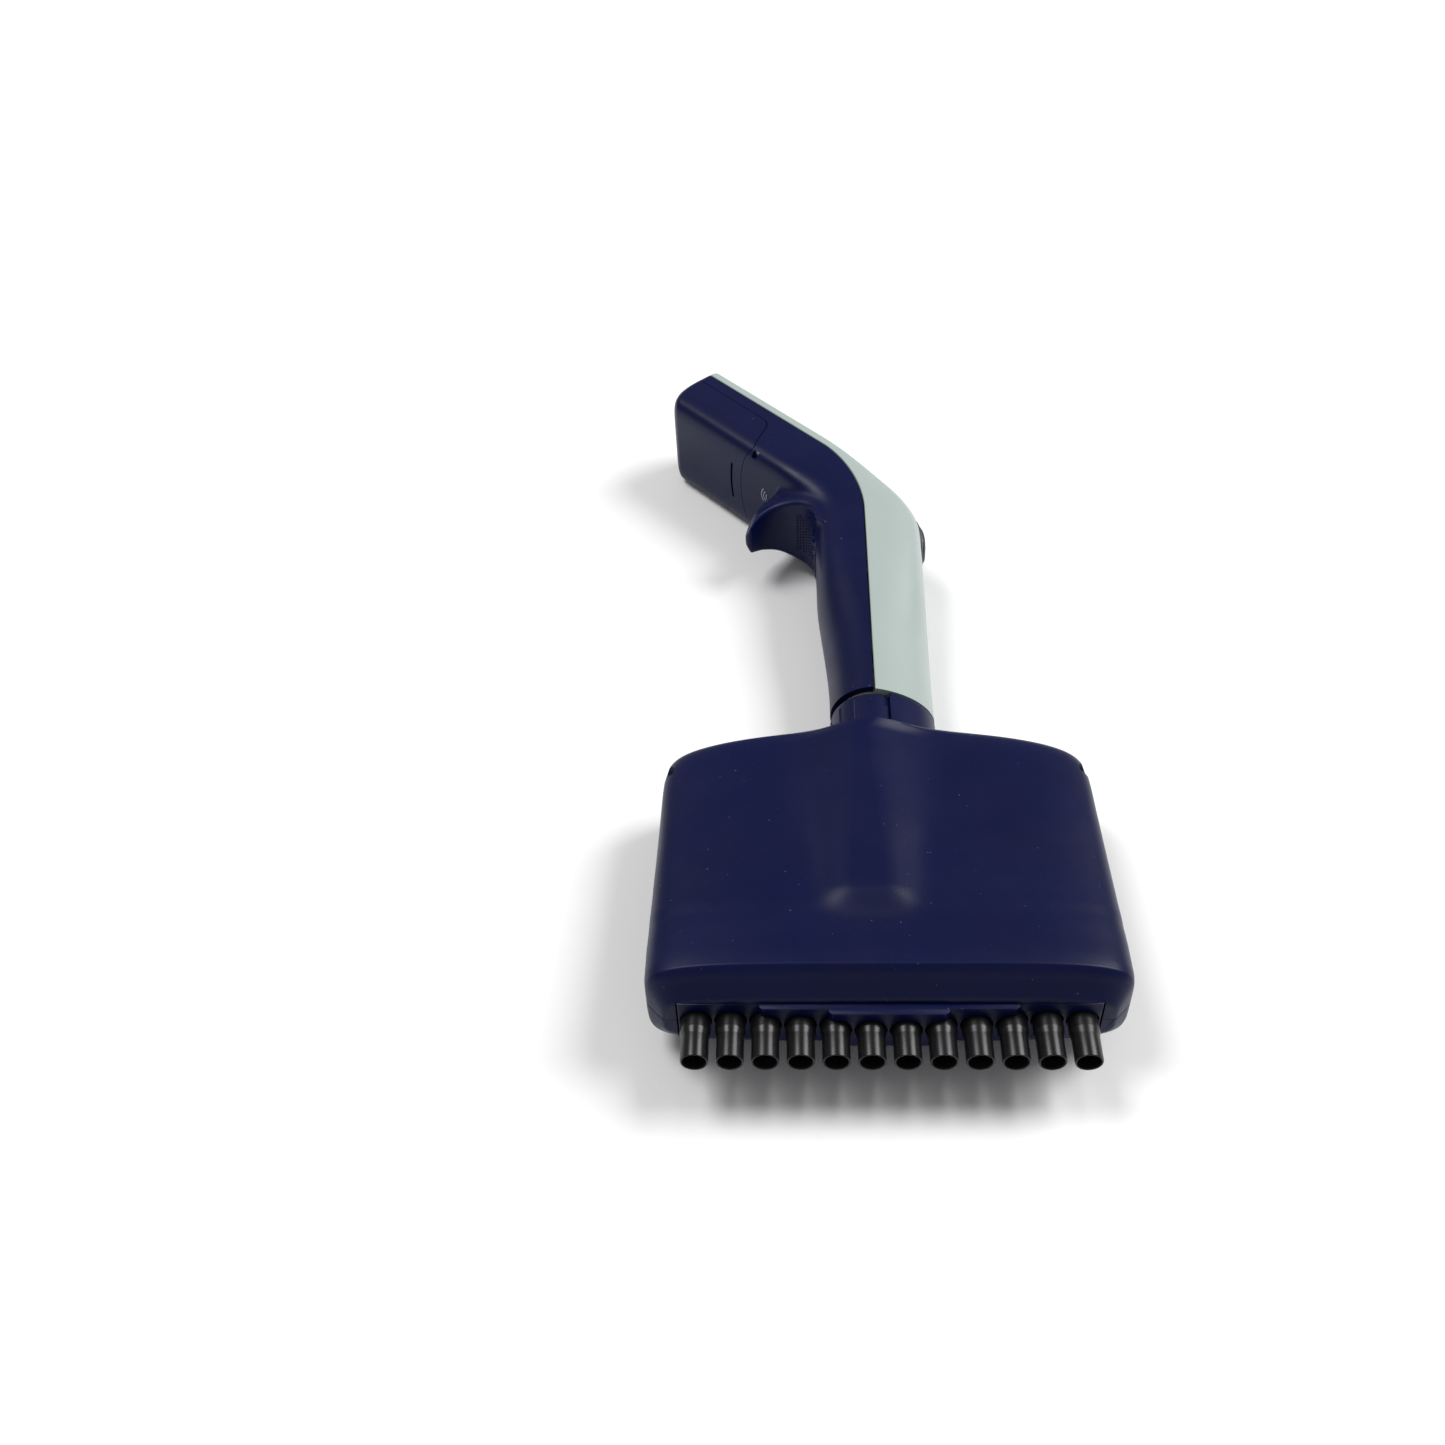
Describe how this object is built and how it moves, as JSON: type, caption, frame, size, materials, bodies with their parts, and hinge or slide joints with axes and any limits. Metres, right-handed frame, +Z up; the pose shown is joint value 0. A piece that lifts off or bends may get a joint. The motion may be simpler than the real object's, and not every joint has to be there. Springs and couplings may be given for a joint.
{
  "type": "motorized pipette controller",
  "caption": "Hand-held motorized multichannel pipette: bent display head with finger hook and thumb button, swivelling wide manifold, row of tip nozzles and a stepped tip stripper.",
  "frame": {"origin": "middle of the footprint of the part lying on its side, on the bench", "axes": "+Y along the piston axis from the nozzles to the grip, +X towards the front of the grip with the thumb button, +Z up from the bench"},
  "size_m": [0.1304, 0.2927, 0.037],
  "materials": {
    "navy_plastic": "fine spark-eroded grain",
    "mint_plastic": "satin",
    "black_plastic": "gloss",
    "dark_plastic": "matte",
    "screen": "dark display glass",
    "lcd": "matte",
    "board": "solder mask",
    "steel": "ground",
    "spring_steel": "drawn wire",
    "brass": "turned",
    "copper_winding": "enamelled wire",
    "magnet": "sintered",
    "ivory_plastic": "natural moulding",
    "aluminium": "milled",
    "cell_wrap": "shrink wrap",
    "rubber": "matte"
  },
  "bodies": {
    "grip": {"rear_shell": "navy_plastic", "front_cover": "mint_plastic", "collar_shroud": "navy_plastic", "display_window": "screen", "lcd_panel": "lcd", "main_board": "board", "board_chips": "dark_plastic", "usb_port": "steel", "rfid_antenna": "brass", "buzzer": "dark_plastic", "battery_pack": "cell_wrap", "battery_contacts": "brass", "cover_latch": "steel", "flex_cable": "copper_winding", "driver_board": "board", "motor_housing": "steel", "motor_coils": "copper_winding", "motor_bearings": "brass", "motor_mount": "ivory_plastic", "motor_screws": "steel", "guide_rails": "ivory_plastic", "thumb_bezel": "black_plastic", "thumb_spring": "spring_steel", "thumb_switch": "dark_plastic", "trigger_spring": "spring_steel", "trigger_switch": "dark_plastic", "key_switches": "dark_plastic", "shell_screws": "steel", "swivel_bush": "ivory_plastic"},
    "battery_door": {"battery_cover": "navy_plastic"},
    "thumb": {"thumb_button": "dark_plastic"},
    "finger_trigger": {"trigger": "navy_plastic"},
    "left_soft_key": {"left_key": "navy_plastic"},
    "right_soft_key": {"right_key": "navy_plastic"},
    "collar_ring": {"release_ring": "navy_plastic"},
    "rotor": {"rotor_magnet": "magnet", "rotor_nut": "brass"},
    "screw": {"lead_screw": "steel", "drive_coupler": "steel", "antirotation_key": "dark_plastic"},
    "manifold": {"spigot": "steel", "spigot_circlip": "spring_steel", "top_bridge": "ivory_plastic", "front_case": "navy_plastic", "rear_case": "navy_plastic", "case_screws": "steel", "side_screws": "dark_plastic", "guide_rods": "steel", "piston_seals": "rubber", "cylinder_block": "aluminium", "nozzle_plate": "dark_plastic", "nozzle_seals": "rubber", "nozzles": "black_plastic", "stripper_springs": "spring_steel"},
    "piston_set": {"plunger_rod": "steel", "piston_plate": "aluminium", "plate_bushes": "brass", "pistons": "steel"},
    "stripper": {"stripper_bar": "navy_plastic", "stripper_rods": "steel"}
  },
  "joints": [
    {"name": "battery_door_slide", "type": "slide", "parent": "grip", "child": "battery_door", "axis": [-0.6691, 0.7431, 0], "range_m": [0, 0.05]},
    {"name": "thumb_press", "type": "slide", "parent": "grip", "child": "thumb", "axis": [-0.9632, -0.2689, 0], "range_m": [0, 0.0016], "stiffness_N_per_m": 600, "springref_m": -0.002, "deforming": ["thumb_spring"]},
    {"name": "trigger_press", "type": "slide", "parent": "grip", "child": "finger_trigger", "axis": [1, 0, 0], "range_m": [0, 0.0012], "stiffness_N_per_m": 500, "springref_m": -0.002, "deforming": ["trigger_spring"]},
    {"name": "left_key_press", "type": "slide", "parent": "grip", "child": "left_soft_key", "axis": [-0.7431, -0.6691, 0], "range_m": [0, 0.0006], "stiffness_N_per_m": 400, "springref_m": -0.001},
    {"name": "right_key_press", "type": "slide", "parent": "grip", "child": "right_soft_key", "axis": [-0.7431, -0.6691, 0], "range_m": [0, 0.0006], "stiffness_N_per_m": 400, "springref_m": -0.001},
    {"name": "release_ring_turn", "type": "hinge", "parent": "grip", "child": "collar_ring", "pos_m": [0.00216, -0.03037, 0.0185], "axis": [0, 1, 0], "range_deg": [-60, 0]},
    {"name": "manifold_swivel", "type": "hinge", "parent": "grip", "child": "manifold", "pos_m": [0.00216, -0.03637, 0.0185], "axis": [0, 1, 0], "continuous": true},
    {"name": "rotor_spin", "type": "hinge", "parent": "grip", "child": "rotor", "pos_m": [0.00216, 0.01563, 0.0185], "axis": [0, 1, 0], "range_deg": [0, 2835]},
    {"name": "screw_feed", "type": "slide", "parent": "grip", "child": "screw", "axis": [0, 1, 0], "range_m": [0, 0.02]},
    {"name": "piston_feed", "type": "slide", "parent": "manifold", "child": "piston_set", "axis": [0, 1, 0], "range_m": [0, 0.02]},
    {"name": "stripper_slide", "type": "slide", "parent": "manifold", "child": "stripper", "axis": [0, -1, 0], "range_m": [0, 0.008], "stiffness_N_per_m": 300, "springref_m": -0.003, "deforming": ["stripper_springs"]}
  ],
  "couplings": [
    {"joint": "rotor_spin", "follows": "screw_feed", "rad_per_m": 2473.7},
    {"joint": "piston_feed", "follows": "screw_feed", "ratio": 1}
  ]
}
